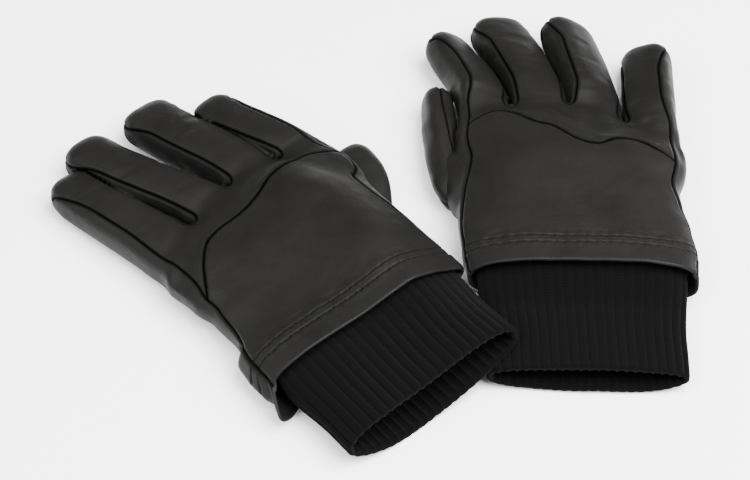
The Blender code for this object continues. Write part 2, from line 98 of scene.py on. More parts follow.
# For each glove: edges are y, thumb edge x, little-finger edge x. Tuck is y and how far the
# thumb raises the palm there. Mouth is the cuff's middle x, half width, slant and how far it
# is cut back on the thumb side. Folds over the knuckles are start, end, height and width.
# Own fingers are those whose form differs from FINGERS. Bend is a finger's sideways shift at
# about a third and two thirds of its length. Tips are x, y, z. Lean is how far a finger's
# thumb side is turned up, in degrees, at its middle and its tip. Root is the rise in the palm
# that the thumb comes from: start, end, radius.
GLOVES = {
    "left": {
        "mirror": -1,
        "yaw": 38.0,
        "hem_middle": (-3.5, -60.0),
        "edges": (
            (0, -60.0, 57.5), (15, -59.5, 57.0), (37, -58.0, 53.8), (50, -57.5, 54.6),
            (64, -57.0, 58.0), (95, -54.5, 61.3), (124, -53.5, 60.5),
        ),
        "tuck": ((-70, 11.5), (0, 10.0), (40, 12.0), (72, 12.0), (130, 5.0)),
        "flatten": 0.40,
        "cuff_out": 51.0,
        "cuff_half_thick": 12.0,
        "mouth": (0.3, 51.0, 3.0, 0.0),
        "hem_drop": 14.0,
        "gather": 7.0,
        "folds": (((-30, 108), (-8, 99), 0.5, 2.6), ((40, 92), (30, 108), 0.6, 3.5)),
        "bend": (0.25, 0.80),
        "own_fingers": {
            "index": (-44.5, 117.0, 10.6, 11.2, 9.4, 8.0),
            "middle": (-17.3, 120.0, 13.4, 15.4, 9.9, 8.6),
            "ring": (12.0, 112.0, 12.6, 13.2, 9.9, 8.4),
            "little": (44.0, 103.0, 14.6, 11.4, 9.7, 8.0),
        },
        "tips": {
            "index": (-29.0, 179.0, 11.5),
            "middle": (0.8, 196.5, 11.0),
            "ring": (41.0, 193.8, 10.0),
            "little": (60.3, 178.5, 9.5),
        },
        "lean": {"index": (0, 0), "middle": (-5, -8), "ring": (-4, -6), "little": (-4, -4)},
        "thumb": {
            "path": ((-44, 50), (-56, 73), (-72.2, 77), (-71, 109.5)),
            "half_width": (6.5, 8.4, 8.6, 8.4),
            "half_height": (3.4, 3.9, 5.2, 5.2),
            "height": (5.4, 5.8, 7.0, 7.0),
            "lean": (0, 0),
        },
        "yoke": (
            (-66, 92), (-52, 101), (-41, 105.5), (-29, 104), (-17, 101.5), (-7, 97), (3, 93.5),
            (13, 91.5), (24, 90.5), (33, 87), (42, 77), (54, 57), (62, 46),
        ),
    },
    "right": {
        "mirror": 1,
        "yaw": 0.0,
        "hem_middle": (104.0, -26.0),
        "edges": (
            (0, -59.0, 54.8), (15, -60.5, 56.2), (30, -62.0, 54.8), (46, -62.0, 52.2),
            (58, -61.7, 51.2), (76, -61.6, 54.4), (98, -62.0, 53.2), (124, -62.5, 53.0),
        ),
        "tuck": ((-70, 0.0), (0, 1.5), (60, 3.0), (130, 2.5)),
        "flatten": 0.0,
        "cuff_out": 59.3,
        "cuff_half_thick": 8.3,
        "mouth": (-2.0, 48.6, 1.2, 1.0),
        "hem_drop": 4.0,
        "gather": 0.0,
        "folds": (
            ((9.3, 120), (8.1, 94), -0.7, 6.0),
            ((-13.6, 109), (1.4, 97), 0.9, 3.0),
            ((15, 93), (39, 104), -0.4, 3.0),
            ((12, 88), (40, 84), 0.5, 2.2),
        ),
        "bend": (0.0, 0.62),
        "own_fingers": {
            "middle": (-17.3, 120.0, 13.4, 15.0, 9.9, 8.6),
            "ring": (12.0, 112.0, 12.8, 14.5, 9.9, 8.4),
        },
        "tips": {
            "index": (-67.6, 177.0, 10.5),
            "middle": (-38.8, 191.0, 10.5),
            "ring": (-0.5, 187.8, 11.5),
            "little": (43.5, 169.5, 10.0),
        },
        "lean": {"index": (26, 38), "middle": (12, 18), "ring": (28, 36), "little": (-18, -24)},
        "thumb": {
            "path": ((-60.6, 57), (-67.4, 66), (-70.6, 96), (-70.6, 136.5)),
            "half_width": (5.0, 6.6, 7.0, 6.6),
            "half_height": (5.4, 7.4, 7.8, 6.8),
            "height": (8.0, 9.0, 9.6, 8.6),
            "lean": (-35, -70),
        },
        "root": ((-57.5, 55, 10.5), (-66.0, 78, 11.0), 8.2),
        "yoke": (
            (-66, 82), (-58, 97), (-50, 104), (-40, 108.5), (-32, 106), (-23, 99.5), (-11, 95),
            (1, 85), (10, 82.5), (20, 86.5), (30, 86), (42, 80), (54, 70), (62, 62),
        ),
    },
}
PAIR_CENTRE = (-2.6, 20.2)


# ---- small mathematical helpers ----


def smooth(value):
    value = np.clip(value, 0.0, 1.0)
    return value * value * (3 - 2 * value)


def table_at(table, at, column=1):
    """Values of a column of the table, smoothly joined between its rows."""
    stops = np.array([row[0] for row in table], float)
    values = np.array([row[column] for row in table], float)
    at = np.clip(at, stops[0], stops[-1])
    here = np.clip(np.searchsorted(stops, at, side="right") - 1, 0, len(stops) - 2)
    share = smooth((at - stops[here]) / (stops[here + 1] - stops[here]))
    return values[here] * (1 - share) + values[here + 1] * share


def curve_at(table, at):
    """Height at x of a smooth curve through the table's points."""
    xs, ys = (np.array(column, float) for column in zip(*table))
    slopes = np.gradient(ys, xs)
    at = np.clip(at, xs[0], xs[-1])
    here = np.clip(np.searchsorted(xs, at, side="right") - 1, 0, len(xs) - 2)
    step = xs[here + 1] - xs[here]
    share = (at - xs[here]) / step
    joined = smooth(share)
    bow = share * (1 - share) * step
    y = ys[here] * (1 - joined) + ys[here + 1] * joined
    return y + bow * ((1 - share) * slopes[here] - share * slopes[here + 1])


def line_at(table, at):
    """Height of a broken line at x."""
    return np.interp(at, [row[0] for row in table], [row[1] for row in table])


def join(a, b, width):
    """Smooth union of two distance fields."""
    return np.minimum(a, b) - np.maximum(width - np.abs(a - b), 0) ** 2 / (4 * width)


def bell(value, centre, width):
    return np.exp(-(((value - centre) / width) ** 2))


def unit(vectors):
    return vectors / np.maximum(np.linalg.norm(vectors, axis=1)[:, None], 1e-12)


def arc_lengths(points):
    """Length along a line of points, at each of them."""
    return np.concatenate([[0], np.cumsum(np.linalg.norm(np.diff(points, axis=0), axis=1))])


def segment_distance(points, start, end):
    """Distance from each point to the straight line between two points."""
    start, end = np.array(start, float), np.array(end, float)
    along = end - start
    share = np.clip(((points - start) @ along) / (along @ along), 0, 1)[:, None]
    return np.linalg.norm(points - start - share * along, axis=1)


def lumps(points, size, seed):
    """Smooth random values between -1 and 1, with lumps of the given size."""
    lattice = np.random.RandomState(seed).uniform(-1, 1, (32, 32, 32))
    scaled = points / size + 400.0
    whole = np.floor(scaled).astype(int)
    part = smooth(scaled - whole)
    found = np.zeros(len(points))
    for corner in range(8):
        step = np.array([(corner >> axis) & 1 for axis in range(3)])
        weight = np.prod(np.where(step, part, 1 - part), axis=1)
        cell = (whole + step) % 32
        found += weight * lattice[cell[:, 0], cell[:, 1], cell[:, 2]]
    return found


# ---- the form of a glove ----


def tuck_height(glove, x, y):
    """How far the thumb tucked under the palm raises the glove."""
    return table_at(glove["tuck"], y) * smooth((14 - x) / 64)


def bezier(points, t):
    a, b, c, d = (np.array(p, float) for p in points)
    t = np.asarray(t, float)[:, None]
    s = 1 - t
    return s**3 * a + 3 * s * s * t * b + 3 * s * t * t * c + t**3 * d


def rounded_box(shares, sizes, n):
    """Rough signed distance to a rounded box, from the shares of its sizes along each axis."""
    g = sum(share**n for share in shares) ** (1 / n) + 1e-9
    steep = sum((share ** (n - 1) / size) ** 2 for share, size in zip(shares, sizes))
    return (g - 1) / np.maximum(g ** (1 - n) * np.sqrt(steep), 0.4 / sizes[1])


class Tube:
    """A finger or thumb: a planar centre line with a rounded-box section along it."""

    def __init__(self, path, lead, width, height, level, power, tip, lean=(0, 0)):
        t = np.linspace(0, 1, 90)
        line = bezier(path, t)
        first = line[1] - line[0]
        first /= np.linalg.norm(first)
        back = np.arange(lead, 0, -1.0)[:, None]
        self.line = np.vstack([line[0] - first * back, line])
        self.t = np.concatenate([np.zeros(len(back)), t])
        self.arc = arc_lengths(self.line) - lead
        self.length = self.arc[-1]
        self.tangent = unit(np.gradient(self.line, axis=0))
        self.width = width
        self.height = height
        self.level = level
        self.power = power
        self.tip = tip
        self.lead = lead
        self.lean = lean

    def section(self, place, z):
        """Coordinates across and up in the leaning section."""
        t, _, across = place
        middle, end = self.lean
        turn = np.radians(middle * smooth(t / 0.35) + (end - middle) * smooth((t - 0.35) / 0.65))
        up = z - self.level(t) - 2.2 * np.abs(np.sin(turn))
        return across * np.cos(turn) - up * np.sin(turn), across * np.sin(turn) + up * np.cos(turn)

    def place(self, xy):
        """Share t along the tube, arc length and distance across it, for plan points."""
        best = np.full(len(xy), np.inf)
        nearest = np.zeros(len(xy), int)
        for i, point in enumerate(self.line):
            distance = (xy[:, 0] - point[0]) ** 2 + (xy[:, 1] - point[1]) ** 2
            closer = distance < best
            best[closer] = distance[closer]
            nearest[closer] = i
        offset = xy - self.line[nearest]
        tangent = self.tangent[nearest]
        along = (offset * tangent).sum(1)
        across = offset[:, 0] * tangent[:, 1] - offset[:, 1] * tangent[:, 0]
        arc = self.arc[nearest] + along
        t = np.interp(arc, self.arc, self.t)
        return t, arc, across

    def field(self, place, z, base_round=0.0):
        """Rough signed distance to the tube's surface at plan places and heights z."""
        t, arc, _ = place
        wide = self.width(t)
        high = self.height(t)
        end = np.clip((arc - (self.length + LEATHER - self.tip)) / self.tip, 0, None)
        if base_round:
            end = end + np.clip((base_round - arc) / base_round, 0, None)
        else:
            end = end + np.clip((-arc - 0.3 * self.lead) / (0.7 * self.lead), 0, None)
        side, up = self.section(place, z)
        shares = (np.abs(side) / wide, np.abs(up) / high, end)
        return rounded_box(shares, (wide, high, self.tip), self.power)


def finger_tube(glove, name):
    x, y, wide, wide_tip, high, high_tip = glove.get("own_fingers", {}).get(name, FINGERS[name])
    tip_x, tip_y, tip_z = glove["tips"][name]
    length = tip_y - y
    base_z = high + LEATHER + 0.4 + float(tuck_height(glove, x, y))
    early, late = (x + share * (tip_x - x) for share in glove["bend"])
    path = ((x, y), (early, y + 0.30 * length), (late, y + 0.66 * length), (tip_x, tip_y))
    return Tube(
        path,
        FINGER_LEAD,
        lambda t: wide + (wide_tip - wide) * t + LEATHER,
        lambda t: high + (high_tip - high) * t + LEATHER,
        lambda t: base_z + (tip_z - base_z) * smooth(t),
        FINGER_POWER,
        FINGER_TIP,
        glove["lean"][name],
    )


def thumb_tube(glove):
    thumb = glove["thumb"]

    def spread(values):
        rows = list(zip((0, 0.3, 0.65, 1.0), values))
        return lambda t: table_at(rows, t)

    wide = spread(thumb["half_width"])
    high = spread(thumb["half_height"])
    return Tube(
        thumb["path"],
        THUMB_LEAD,
        lambda t: wide(t) + LEATHER,
        lambda t: high(t) + LEATHER,
        spread(thumb["height"]),
        THUMB_POWER,
        THUMB_TIP,
        thumb["lean"],
    )


def hand_form(glove, y):
    """Middle x, half width, middle height and half height of the hand at y."""
    left = table_at(glove["edges"], y, 1)
    right = table_at(glove["edges"], y, 2)
    half = (table_at(HAND_THICK, y) - LEATHER + 1.0) / 2
    return (left + right) / 2, (right - left) / 2, half + 0.3, half + LEATHER


def hand_field(glove, x, y, z):
    middle, wide, level, high = hand_form(glove, y)
    height = (z - tuck_height(glove, x, y)) / thinning(glove, x)
    front = line_at(FINGER_LINE, x) - 4.0
    end = np.clip((y - front + HAND_REACH) / HAND_REACH, 0, None)
    shares = (np.abs(x - middle) / wide, np.abs(height - level) / high, end)
    found = rounded_box(shares, (wide, high, HAND_REACH), HAND_POWER)
    found = np.maximum(found, -height)
    if "root" in glove:
        start, end, radius = glove["root"]
        root = segment_distance(np.stack([x, y, z], 1), start, end) - radius
        found = join(found, root, HAND_JOIN)
    return found


def thinning(glove, x):
    """The hand gets thinner towards the thumb edge of a glove that rests on its thumb."""
    return 1 - glove["flatten"] * smooth((-22 - x) / 38)


# ---- turning a field into a mesh ----


def surface_nets(values, origin, step):
    """Points and quads of the surface where the sampled field is zero."""
    shape = np.array(values.shape) - 1
    total = np.zeros(tuple(shape) + (3,))
    count = np.zeros(tuple(shape))
    quads = []
    for axis in range(3):
        a, b = (np.delete(values, end, axis) for end in (-1, 0))
        i, j, k = np.nonzero((a < 0) != (b < 0))
        share = a[i, j, k] / (a[i, j, k] - b[i, j, k])
        place = np.stack([i, j, k], 1).astype(float)
        place[:, axis] += share
        others = [other for other in range(3) if other != axis]
        cells = []
        whole = True
        for low in ((0, 0), (1, 0), (1, 1), (0, 1)):
            cell = np.stack([i, j, k], 1)
            cell[:, others] -= low
            good = ((cell >= 0) & (cell < shape)).all(1)
            index = tuple(cell[good].T)
            np.add.at(total, index, place[good])
            np.add.at(count, index, 1)
            cells.append(cell)
            whole = whole & good
        flat = [np.ravel_multi_index(tuple(c[whole].T), tuple(shape)) for c in cells]
        quad = np.stack(flat, 1)
        turn = a[i, j, k][whole] < 0
        if axis == 1:
            turn = ~turn
        quad[~turn] = quad[~turn][:, ::-1]
        quads.append(quad)
    active = np.flatnonzero(count.ravel())
    number = np.full(count.size, -1)
    number[active] = np.arange(len(active))
    points = total.reshape(-1, 3)[active] / count.ravel()[active][:, None]
    quads = number[np.vstack(quads)]
    return np.asarray(origin) + points * step, quads


def triangles_of(quads):
    return np.vstack([quads[:, [0, 1, 2]], quads[:, [0, 2, 3]]])


def gradient(field, points, step=0.25):
    found = np.empty_like(points)
    for axis, move in enumerate(np.eye(3) * step):
        found[:, axis] = (field(points + move) - field(points - move)) / (2 * step)
    return found


def settle(field, points, rounds=2):
    """Moves points onto the field's zero surface."""
    for _ in range(rounds):
        slope = gradient(field, points)
        steep = (slope**2).sum(1) + 1e-6
        move = -(field(points) / steep)[:, None] * slope
        length = np.linalg.norm(move, axis=1)[:, None]
        points = points + move * np.minimum(1, 0.5 * GRID / np.maximum(length, 1e-9))
    return points


class Skin:
    """A triangle mesh cut along level lines of fields that are known at its points."""

    def __init__(self, points, triangles):
        self.points = points
        self.triangles = triangles
        self.fields = {}
        self.sides = {}

    def cut(self, name, offset=0.0, side=None):
        """Splits the triangles that a level line crosses, and can note which side each is on.

        Only edges between a lower and a higher point are split, so no cracks are left.
        """
        values = self.fields[name] - offset
        values[np.abs(values) < 1e-6] = 0.0
        tri = self.triangles
        sign = np.sign(values[tri])
        mixed = (sign.min(1) < 0) & (sign.max(1) > 0)
        touched = mixed & (sign == 0).any(1)
        crossed = np.flatnonzero(mixed & ~touched)
        touched = np.flatnonzero(touched)
        if not mixed.any():
            return
        ups = (sign[crossed] > 0).sum(1)
        above = np.where(ups == 1, 1, -1)
        a, b, c = self.turned(crossed, (sign[crossed] == above[:, None]).argmax(1))
        start, p, q = self.turned(touched, (sign[touched] == 0).argmax(1))
        ends = [np.stack(pair, 1) for pair in ((a, b), (a, c), (p, q))]
        edges, index = np.unique(np.sort(np.vstack(ends), axis=1), axis=0, return_inverse=True)
        index = index.reshape(-1) + len(self.points)
        share = values[edges[:, 0]] / (values[edges[:, 0]] - values[edges[:, 1]])
        share = np.clip(share, 0.03, 0.97)
        self.points = self.extended(self.points, edges, share[:, None])
        for key, field in self.fields.items():
            self.fields[key] = self.extended(field, edges, share)
        self.fields[name][-len(edges) :] = offset
        ab, ac, pq = np.split(index, (len(a), 2 * len(a)))
        kept = np.flatnonzero(~mixed)
        made = ((a, ab, ac), (ab, b, c), (ab, c, ac), (start, p, pq), (start, pq, q))
        self.triangles = np.vstack([tri[kept]] + [np.stack(corners, 1) for corners in made])
        origin = np.concatenate([kept] + [crossed] * 3 + [touched] * 2)
        for key in self.sides:
            self.sides[key] = self.sides[key][origin]
        if side:
            whole = sign[kept].sum(1) > 0
            lone_up = ups == 1
            marks = [whole, lone_up, ~lone_up, ~lone_up, values[p] > 0, values[q] > 0]
            self.sides[side] = np.concatenate(marks)

    def turned(self, rows, first):
        """Corners of the triangles, each starting with its given corner."""
        at = np.arange(len(rows))
        return [self.triangles[rows][at, (first + k) % 3] for k in range(3)]

    def extended(self, values, edges, share):
        made = values[edges[:, 0]] * (1 - share) + values[edges[:, 1]] * share
        return np.concatenate([values, made])

    def keep(self, chosen):
        self.triangles = self.triangles[chosen]
        self.sides = {key: side[chosen] for key, side in self.sides.items()}

    def line(self, name, offset=0.0):
        """Point numbers on a level line that has been cut."""
        return np.flatnonzero(np.abs(self.fields[name] - offset) < 1e-5)

    def line_points(self, chosen):
        """The chosen points and three more along each edge that joins two of them."""
        picked = np.zeros(len(self.points), bool)
        picked[chosen] = True
        tri = self.triangles
        edges = np.vstack([tri[:, [0, 1]], tri[:, [1, 2]], tri[:, [2, 0]]])
        edges = np.unique(np.sort(edges[picked[edges].all(1)], axis=1), axis=0)
        a, b = self.points[edges[:, 0]], self.points[edges[:, 1]]
        return np.vstack([self.points[chosen]] + [a + (b - a) * s for s in (0.25, 0.5, 0.75)])

    def normals(self):
        corner = self.points[self.triangles]
        face = np.cross(corner[:, 1] - corner[:, 0], corner[:, 2] - corner[:, 0])
        found = np.zeros_like(self.points)
        for k in range(3):
            np.add.at(found, self.triangles[:, k], face)
        return unit(found)


# ---- meshes and objects ----


def to_world(glove, points):
    """From the glove's own frame in millimetres to the pair's frame in metres."""
    turn = math.radians(glove["yaw"])
    x = points[:, 0] * glove["mirror"]
    y = points[:, 1]
    east = x * math.cos(turn) - y * math.sin(turn) + glove["hem_middle"][0] - PAIR_CENTRE[0]
    north = x * math.sin(turn) + y * math.cos(turn) + glove["hem_middle"][1] - PAIR_CENTRE[1]
    return np.stack([east, north, points[:, 2]], 1) / 1000


def new_object(name, data):
    obj = bpy.data.objects.new(name, data)
    bpy.context.scene.collection.objects.link(obj)
    return obj


def make_object(glove, name, points, faces, skin, normals=None, uv=None, seam_shade=None):
    """Object of triangles or quads given in the glove's frame, with optional normals and UVs.

    The seam shade values, between 0 and 1, are painted shade that darkens and roughens the leather
    in its seams.
    """
    mesh = bpy.data.meshes.new(name)
    faces = np.asarray(faces)
    if glove["mirror"] < 0:
        faces = faces[:, ::-1]
    sides = faces.shape[1]
    world = to_world(glove, points)
    mesh.vertices.add(len(world))
    mesh.vertices.foreach_set("co", world.ravel())
    mesh.loops.add(faces.size)
    mesh.loops.foreach_set("vertex_index", faces.ravel().astype(np.int32))
    mesh.polygons.add(len(faces))
    mesh.polygons.foreach_set("loop_start", np.arange(0, faces.size, sides, dtype=np.int32))
    mesh.polygons.foreach_set("use_smooth", np.ones(len(faces), bool))
    if uv is not None:
        layer = mesh.uv_layers.new(name="UVMap")
        layer.data.foreach_set("uv", uv[faces.ravel()].ravel())
    mesh.update(calc_edges=True)
    mesh.validate()
    if seam_shade is not None:
        layer = mesh.attributes.new("seam_shade", "FLOAT", "POINT")
        layer.data.foreach_set("value", seam_shade.astype(np.float32))
    if normals is not None:
        tips = unit(to_world(glove, points + normals) - world)
        mesh.normals_split_custom_set_from_vertices(tips.tolist())
    mesh.materials.append(skin)
    return new_object(name, mesh)


def nearness(points, lines):
    """Distance from each point to the nearest of the line points."""
    tree = KDTree(len(lines))
    for i, point in enumerate(lines):
        tree.insert(point, i)
    tree.balance()
    return np.array([tree.find(point)[2] for point in points])


# ---- leather of the hand and fingers ----


def gusset_share(t):
    """Share of a finger's half height at which its gusset seams run."""
    return 0.60 * (1 - smooth((t - 0.72) / 0.30)) + 0.13


def finger_fields(tubes, points):
    """Fields at the points: finger borders, and back and front of the fingers."""
    z = points[:, 2]
    places = [tube.place(points[:, :2]) for tube in tubes]
    fields = np.array([tube.field(place, z) for tube, place in zip(tubes, places)])
    finger = fields.argmin(0)

    def own(values):
        return np.choose(finger, values)

    sections = [tube.section(place, z) for tube, place in zip(tubes, places)]
    t = own([place[0] for place in places])
    wide = own([tube.width(place[0]) for tube, place in zip(tubes, places)])
    high = own([tube.height(place[0]) for tube, place in zip(tubes, places)])
    across = own([section[0] for section in sections])
    up = own([section[1] for section in sections])
    share = gusset_share(t) * high
    outer = ((finger == 0) & (across < 0)) | ((finger == 3) & (across > 0))
    inset = 5.0 * (1 - smooth((t - 0.6) / 0.4))
    on_top = np.minimum(wide - inset - np.abs(across), up - 0.13 * high)
    back = np.where(outer, on_top, up - share)
    front = np.where(outer, -back, -up - share)
    return {f"gap{i}": fields[i] - fields[i + 1] for i in range(3)}, back, front


def leather_at(glove, tubes, places, x, y, z):
    """The leather's field at points whose places along the fingers are known."""
    fingers = tubes[0].field(places[0], z)
    for tube, place in zip(tubes[1:], places[1:]):
        fingers = join(fingers, tube.field(place, z), FINGER_JOIN)
    found = join(hand_field(glove, x, y, z), fingers, HAND_JOIN)
    return np.maximum(found, TABLE_GAP - z)


def sampled_leather(glove, tubes, low, high):
    """The leather's field on a grid; the plan part is worked out once for each column."""
    xs, ys, zs = (np.arange(a, b, GRID) for a, b in zip(low, high))
    gx, gy = np.meshgrid(xs, ys, indexing="ij")
    x, y = gx.ravel(), gy.ravel()
    places = [tube.place(np.stack([x, y], 1)) for tube in tubes]
    layers = []
    for z in zs:
        layer = leather_at(glove, tubes, places, x, y, np.full(len(x), z))
        layers.append(layer.reshape(gx.shape))
    return np.stack(layers, 2), low


def leather_skin(glove, tubes):
    """The glove's leather as one mesh, cut along its seams and open at the hem."""

    def field(points):
        places = [tube.place(points[:, :2]) for tube in tubes]
        return leather_at(glove, tubes, places, *points.T)

    values, origin = sampled_leather(glove, tubes, (-88, -4, -2.6), (84, 206, 46))
    points, quads = surface_nets(values, origin, GRID)
    skin = Skin(settle(field, points), triangles_of(quads))
    x, y, z = skin.points.T
    gaps, back, front = finger_fields(tubes, skin.points)
    level, high = hand_form(glove, y)[2:]
    share = 0.285 + 0.33 * smooth((y - 20) / 60)
    hand_back = z - tuck_height(glove, x, y) - (level + share * high) * thinning(glove, x)
    onward = smooth((y - line_at(FINGER_LINE, x) + 42) / 40)
    skin.fields = {
        "y": y,
        "back": hand_back * (1 - onward) + back * onward,
        "front": -hand_back * (1 - onward) + front * onward,
        "finger": y - line_at(FINGER_LINE, x),
        "yoke": (y - curve_at(glove["yoke"], x)) * 0.9,
        **gaps,
    }
    skin.cut("y", 0.0, side="whole")
    skin.keep(skin.sides["whole"])
    for name in ("back", "front", "finger", "yoke", "gap0", "gap1", "gap2"):
        skin.cut(name, side=name)
    skin.cut("y", HEM_WIDTH, side="hem")
    for row in HEM_ROWS:
        for offset in (-0.9, -0.4, 0.0, 0.4, 0.9):
            skin.cut("y", row + offset)
    for name in ("yoke", "back", "front"):
        for offset in SEAM_CUTS:
            skin.cut(name, offset)
    return skin


def relief(glove, skin, seed):
    """Height of seams, puckers and soft folds above the plain form, and the painted shade values
    for the seam grooves, stitched rows and a gathered crease.
    """
    points = skin.points
    x, y, z = points.T
    fields = skin.fields
    back = skin.line("back")
    front = skin.line("front")
    yoke = skin.line("yoke")
    seams = [back, front[fields["back"][front] < -0.5], yoke[fields["back"][yoke] > 0]]
    near = nearness(points, np.vstack([skin.line_points(line) for line in seams]))
    found = -0.9 * bell(near, 0, 0.6) + 0.18 * bell(near, 1.9, 0.9)
    # Painted shade: the colour is darkened along the seam grooves, where their shade falls.
    painted_shade = bell(near, 0, 0.85)
    beside = np.abs(fields["yoke"])
    on_back = smooth((fields["back"] - 0.3) / 1.5)
    found += (-0.35 * bell(beside, 0, 0.9) - 0.12 * bell(beside, 1.7, 0.9)) * on_back
    # Painted shade along the knuckle yoke's seam groove.
    painted_shade = np.maximum(painted_shade, bell(beside, 0, 1.15) * on_back)
    ripple = np.sin(x * 1.05 + 2.0 * lumps(points, 14, seed))
    found += 0.07 * ripple * np.exp(-beside / 3.0) * (z > 8)
    girth = (x + 0.8 * z * np.sign(x)) * 1.10 + 2.2 * lumps(points, 11, seed + 1)
    for row in HEM_ROWS:
        offset = y - row
        found += -0.42 * bell(offset, 0, 0.55) + 0.20 * bell(offset, 0, 2.4)
        found += 0.20 * np.sin(girth) * bell(offset, 0, 2.0)
        # Painted shade in the grooves of the stitched rows.
        painted_shade = np.maximum(painted_shade, 0.6 * bell(offset, 0, 0.5))
    found += 0.45 * smooth((HEM_WIDTH - y) / 1.5) + 0.28 * lumps(points, 9, seed + 6) * (y < 20)
    found += 0.85 * lumps(points, 38, seed + 2) + 0.30 * lumps(points, 14, seed + 3)
    found += 0.07 * lumps(points, 4.5, seed + 4)
    if glove["gather"]:
        side_only = smooth((x - 42) / 8) * smooth((21 - z) / 5)
        upper = bell(y, 25 + 0.8 * (x - 51), 1.3) * side_only
        lower = bell(y, 7 - 0.3 * (x - 48), 1.6) * side_only
        found += -1.5 * upper - 1.1 * lower
        # Painted shade in the upper crease of the gathered corner.
        painted_shade = np.maximum(painted_shade, 0.8 * upper)
    valley = (curve_at(glove["yoke"], x) + line_at(FINGER_LINE, x)) / 2 + 2
    on_top = smooth((skin.normals()[:, 2] - 0.3) / 0.5)
    found += -VALLEY * bell(y, valley, 10) * on_top
    for start, end, height, width in glove["folds"]:
        away = segment_distance(points[:, :2], start, end)
        found += height * bell(away, 0, width) * on_top
    stretched = points * (0.35, 1.0, 1.0) + 3 * lumps(points, 25, seed + 7)[:, None]
    crease = lumps(stretched, 6.5, seed + 8)
    amount = smooth((y - 95) / 40) * 0.30 + 0.10
    found += -amount * np.maximum(crease - 0.15, 0) * 1.6
    return found, painted_shade


def loop_at(skin, y):
    """Point numbers of the cut line at y, in order round the glove."""
    loop = skin.line("y", y)
    spots = skin.points[loop]
    centre = (spots.max(0) + spots.min(0)) / 2
    return loop[np.argsort(np.arctan2(spots[:, 2] - centre[2], spots[:, 0] - centre[0]))]


def add_lip(skin, painted_shade):
    """Rolls the leather's edge in at the hem. Returns the painted seam shade values with the new
    points.
    """
    loop = loop_at(skin, 0.0)
    spots = skin.points[loop]
    ahead = np.roll(spots, -1, 0) - np.roll(spots, 1, 0)
    outward = unit(np.stack([ahead[:, 2], 0 * ahead[:, 0], -ahead[:, 0]], 1))
    profile = ((-0.5, 0.1), (-0.95, 0.5), (-1.05, 1.1), (-0.8, 1.7), (0.0, 2.1), (3, 2.2), (9, 2.2))
    count = len(loop)
    rows = [loop]
    for along, inward in profile:
        row = spots - outward * inward
        row[:, 1] += along
        rows.append(len(skin.points) + np.arange(count))
        skin.points = np.vstack([skin.points, row])
        painted_shade = np.concatenate([painted_shade, np.zeros(count)])
    after = [np.roll(row, -1) for row in rows]
    for i in range(len(profile)):
        a, b, c, d = rows[i], after[i], after[i + 1], rows[i + 1]
        made = np.vstack([np.stack([a, b, c], 1), np.stack([a, c, d], 1)])
        skin.triangles = np.vstack([skin.triangles, made])
        for key, value in skin.sides.items():
            mark = np.full(len(made), key == "whole")
            skin.sides[key] = np.concatenate([value, mark])
    return painted_shade


def drop_corner(glove, points):
    """The hem hangs lower and is gathered at the palm, on the little-finger side."""
    x, y, z = points.T
    corner = smooth((x - 30) / 26) * smooth((22 - z) / 14)
    drop = glove["hem_drop"] * corner * smooth(1 - y / 30)
    folds = 0.75 - 0.35 * bell(y, 6, 4) + 0.45 * smooth((2 - y) / 8)
    out = glove["gather"] * corner * smooth((30 - y) / 6) * folds
    return points + np.stack([out, -drop, 0 * x], 1)


def build_leather(side, glove, seed):
    tubes = [finger_tube(glove, name) for name in FINGER_NAMES]
    skin = leather_skin(glove, tubes)
    height, painted_shade = relief(glove, skin, seed)
    height = np.where(skin.points[:, 2] < 0.4, np.minimum(height, 0), height)
    skin.points = skin.points + skin.normals() * height[:, None]
    skin.points[:, 2] = np.maximum(skin.points[:, 2], TABLE_GAP)
    painted_shade = add_lip(skin, painted_shade)
    skin.points = drop_corner(glove, skin.points)
    normals = skin.normals()

    sides = skin.sides
    finger = np.zeros(len(skin.triangles), int)
    for i in range(3):
        finger += sides[f"gap{i}"] & (finger == i)
    gusset = ~sides["back"] & ~sides["front"]
    hand = ~sides["finger"]
    hem = ~sides["hem"]
    shell = hand & ~hem
    hand_pieces = {
        f"{side}_hem_band": (hem, LEATHER_SKIN),
        f"{side}_back_panel": (shell & sides["back"] & ~sides["yoke"], LEATHER_SKIN),
        f"{side}_knuckle_yoke": (shell & sides["back"] & sides["yoke"], LEATHER_SKIN),
        f"{side}_palm_panel": (shell & ~sides["back"] & ~gusset, LEATHER_SKIN),
        f"{side}_gusset_roots": (shell & gusset, SHADED_GUSSET_SKIN),
    }
    for name, (chosen, surface) in hand_pieces.items():
        obj = make_piece(glove, name, skin, normals, painted_shade, chosen, surface)
        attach(obj, f"{side}_hand")
        if not name.endswith("roots"):
            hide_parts(name)
    build_stitches(side, glove, skin, normals)

    centre = skin.points[skin.triangles].mean(1)
    for i, name in enumerate(FINGER_NAMES):
        own = ~hand & (finger == i)
        across = tubes[i].place(centre[:, :2])[2]
        pieces = {f"{side}_{name}_back": own & sides["back"]}
        if name != "little":
            pieces[f"{side}_{name}_gusset_b"] = own & gusset & (across > 0)
        if name != "index":
            pieces[f"{side}_{name}_gusset_a"] = own & gusset & (across <= 0)
        pieces[f"{side}_{name}_front"] = own & ~np.any(list(pieces.values()), axis=0)
        start, end = blend_line(glove, i)
        for piece, chosen in pieces.items():
            surface = SHADED_GUSSET_SKIN if "gusset" in piece else LEATHER_SKIN
            obj = make_piece(glove, piece, skin, normals, painted_shade, chosen, surface)
            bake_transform(obj)
            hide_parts(piece)


def make_piece(glove, name, skin, normals, painted_shade, chosen, surface):
    """Object of the chosen triangles of a skin, which keeps the whole skin's shading."""
    used, index = np.unique(skin.triangles[chosen], return_inverse=True)
    faces = index.reshape(-1, 3)
    obj = make_object(
        glove, "skin_" + name, skin.points[used], faces, surface, normals[used], seam_shade=painted_shade[used]
    )
    return obj


